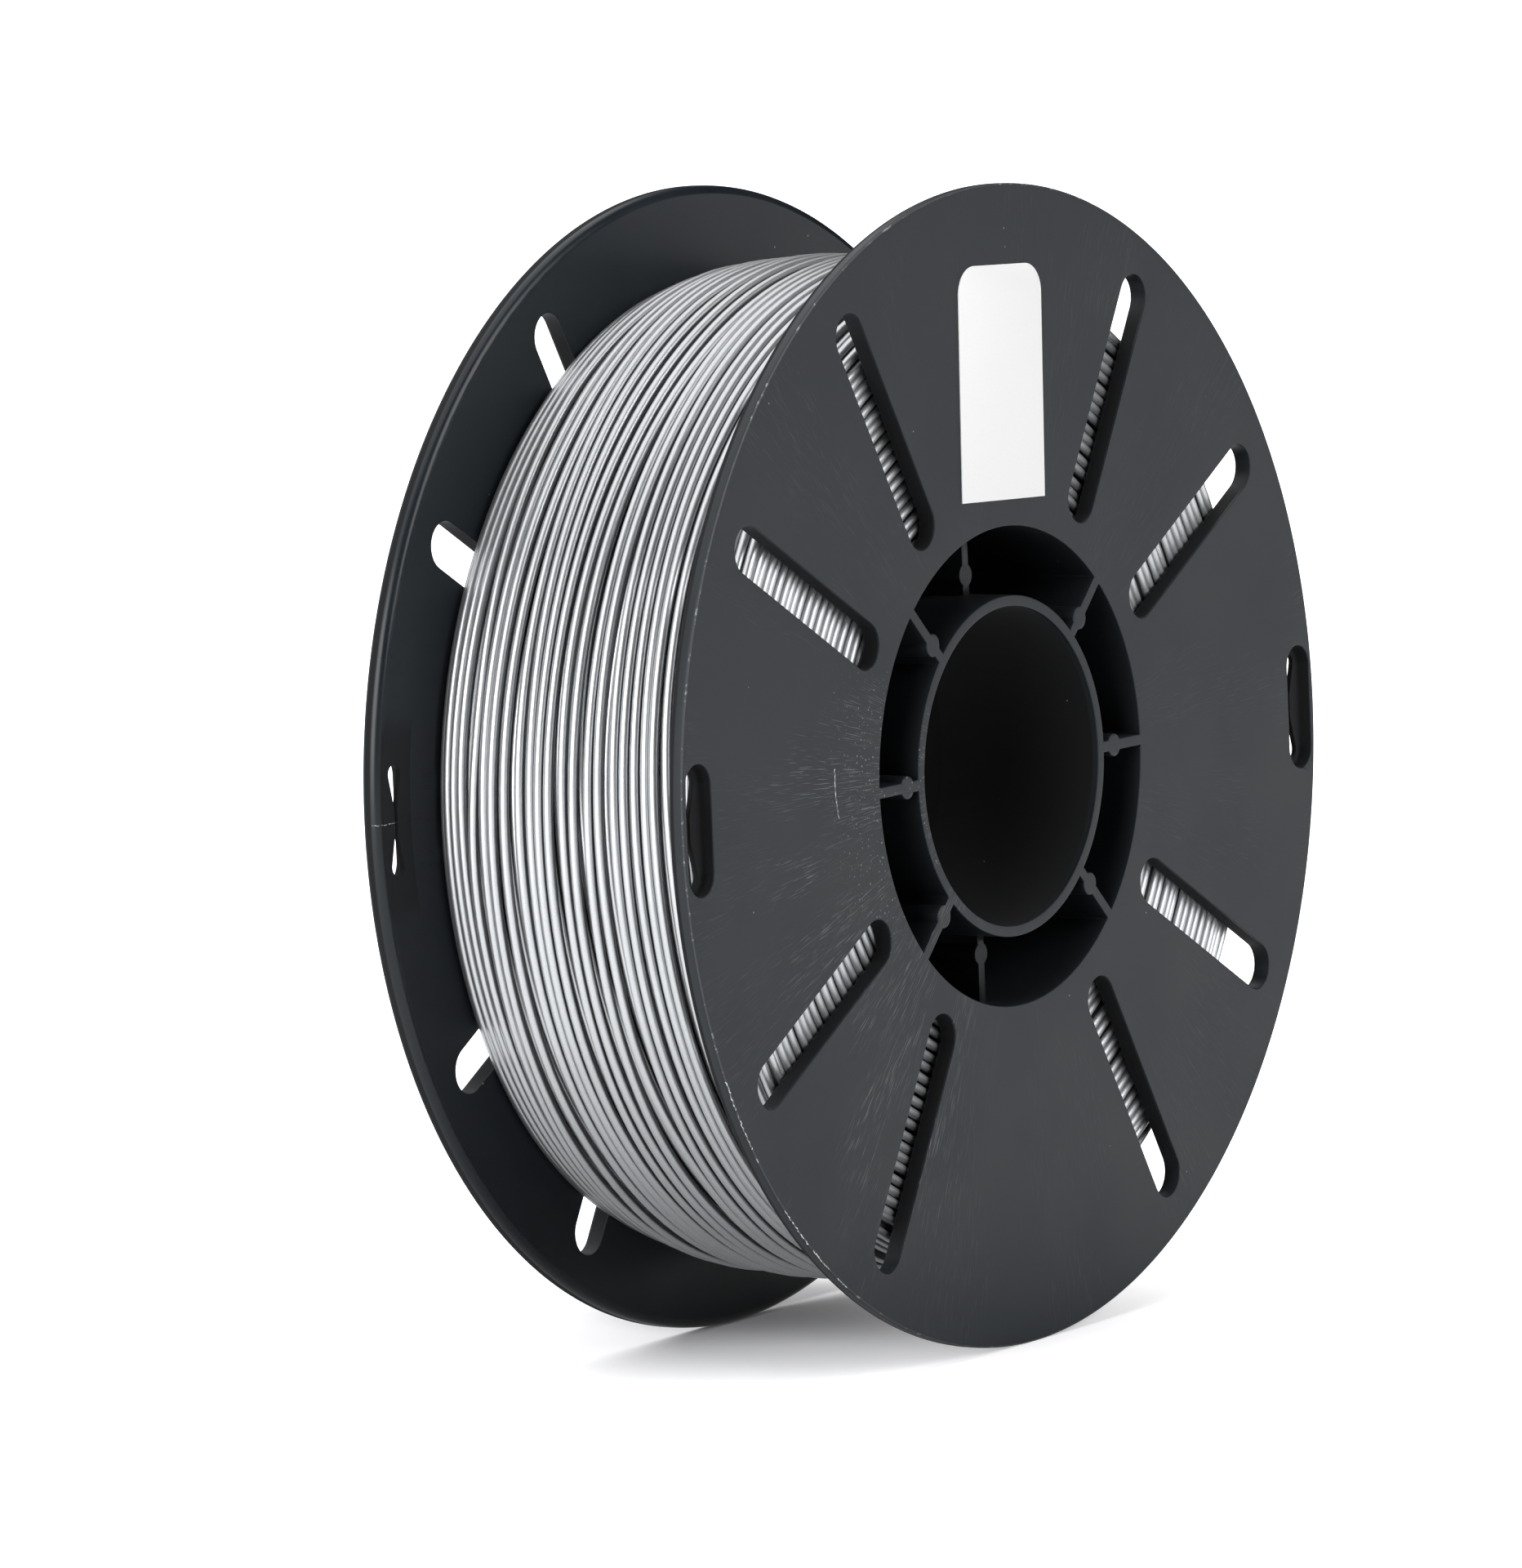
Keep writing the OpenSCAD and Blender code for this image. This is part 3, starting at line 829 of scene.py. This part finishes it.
# Each shade of the floor fades between two distances from a place on it.
SHADE_MIDDLE = (-1 * MM, 22 * MM, -FLANGE_R)
SHADE = (0.0, 137 * MM)
MIRRORED_SHADE = (45 * MM, 170 * MM)
FOOT_SHADE_MIDDLE = (20 * MM, 36 * MM, -FLANGE_R)
FOOT_SHADE = (40 * MM, 12 * MM)
FLOOR_SIZE = 6
SURROUNDINGS = 0.025


def seen_directly(tree):
    """One where the camera looks straight at a surface or through glass, and else nothing."""
    path = add_node(tree, "LightPath").outputs
    return calc(tree, "MAXIMUM", path["Is Camera Ray"], path["Is Transmission Ray"])


def distance_from(tree, point, place):
    return add_node(tree, "VectorMath", {0: point, 1: place},
                    operation="DISTANCE").outputs["Value"]


def floor_white():
    """White that is shaded near the place where the spool stands.

    To the camera and in reflections it glows white a little away from there. It is also
    darker behind the foot of the far flange.
    """
    material, tree, shader = new_material("floor_white")
    path = add_node(tree, "LightPath").outputs
    point = object_point(tree)
    behind = add_node(tree, "SeparateXYZ", {0: point}).outputs["Y"]
    foot_shade = calc(tree, "MULTIPLY",
                      fade(tree, distance_from(tree, point, FOOT_SHADE_MIDDLE), *FOOT_SHADE),
                      fade(tree, behind, 30 * MM, 33 * MM))
    colour = blend_colour(tree, path["Is Camera Ray"], (0.4, 0.4, 0.405, 1), (0.9, 0.9, 0.92, 1))
    colour = blend_colour(tree, foot_shade, colour, (0.3, 0.3, 0.31, 1))
    tree.links.new(colour, shader.inputs["Base Color"])

    away = distance_from(tree, point, SHADE_MIDDLE)
    glow = calc(tree, "MULTIPLY", seen_directly(tree), fade(tree, away, *SHADE, 0.02, 1.0))
    mirrored = calc(tree, "MULTIPLY", path["Is Glossy Ray"],
                    fade(tree, away, *MIRRORED_SHADE, 0.1, 1.0))
    tree.links.new(calc(tree, "ADD", glow, mirrored), shader.inputs["Emission Strength"])
    shader.inputs["Emission Color"].default_value = (1, 1, 1, 1)
    shader.inputs["Roughness"].default_value = 0.9
    shader.inputs["Specular IOR Level"].default_value = 0.1
    return material


def stage_floor():
    """Wide flat floor that both rims stand on."""
    form = bmesh.new()
    bmesh.ops.create_grid(form, x_segments=1, y_segments=1, size=FLOOR_SIZE)
    bmesh.ops.translate(form, verts=form.verts, vec=(0, 0, -FLANGE_R))
    mesh = bpy.data.meshes.new("floor")
    form.to_mesh(mesh)
    form.free()
    mesh.materials.append(floor_white())
    floor = bpy.data.objects.new("floor", mesh)
    bpy.context.scene.collection.objects.link(floor)


def studio_world():
    """Faint even surroundings, white where the camera looks straight at them."""
    world = bpy.data.worlds.new("studio")
    bpy.context.scene.world = world
    world.use_nodes = True
    tree = world.node_tree
    background = tree.nodes["Background"]
    strength = fade(tree, seen_directly(tree), 0, 1, SURROUNDINGS, 1.0)
    tree.links.new(strength, background.inputs["Strength"])
    background.inputs["Color"].default_value = (1, 1, 1, 1)


def add_soft_light(name, source, spread, strength):
    """Wide even light that comes from a given direction and is spread over so many degrees."""
    lamp = bpy.data.lights.new(name, "SUN")
    lamp.angle = math.radians(spread)
    lamp.energy = strength
    holder = bpy.data.objects.new(name, lamp)
    bpy.context.scene.collection.objects.link(holder)
    holder.rotation_euler = Vector(source).to_track_quat("Z", "Y").to_euler()


def add_camera():
    """Long lens, a little above the spool and to the left of the label."""
    azimuth, elevation, roll = (math.radians(a) for a in (-55.592, 6.231, -2.473))
    distance, target = 1786 * MM, Vector((-29.23, 0, -0.6)) * MM
    focal_px, picture_h, sensor = 12774, 1920, 36
    back = Vector((math.sin(azimuth) * math.cos(elevation),
                   -math.cos(azimuth) * math.cos(elevation), math.sin(elevation)))
    right = (-back).cross(Vector((0, 0, 1))).normalized()
    up = back.cross(right)
    turned_right = math.cos(roll) * right + math.sin(roll) * up
    turned_up = -math.sin(roll) * right + math.cos(roll) * up
    data = bpy.data.cameras.new("camera")
    data.sensor_width = sensor
    data.lens = sensor * focal_px / picture_h
    data.clip_start, data.clip_end = 0.1, 30
    camera = bpy.data.objects.new("camera", data)
    bpy.context.scene.collection.objects.link(camera)
    turn = Matrix((turned_right, turned_up, back)).transposed()
    camera.matrix_world = Matrix.Translation(target + distance * back) @ turn.to_4x4()
    bpy.context.scene.camera = camera


stage_floor()
studio_world()
add_soft_light("left_light", (-1, 0.1, 0.25), spread=50, strength=3.6)
add_soft_light("front_light", (0.18, -0.88, 0.4), spread=45, strength=2.2)
add_soft_light("top_light", (0.0, 0.45, 1), spread=90, strength=2.4)
add_camera()
bpy.context.scene.view_settings.view_transform = "Standard"
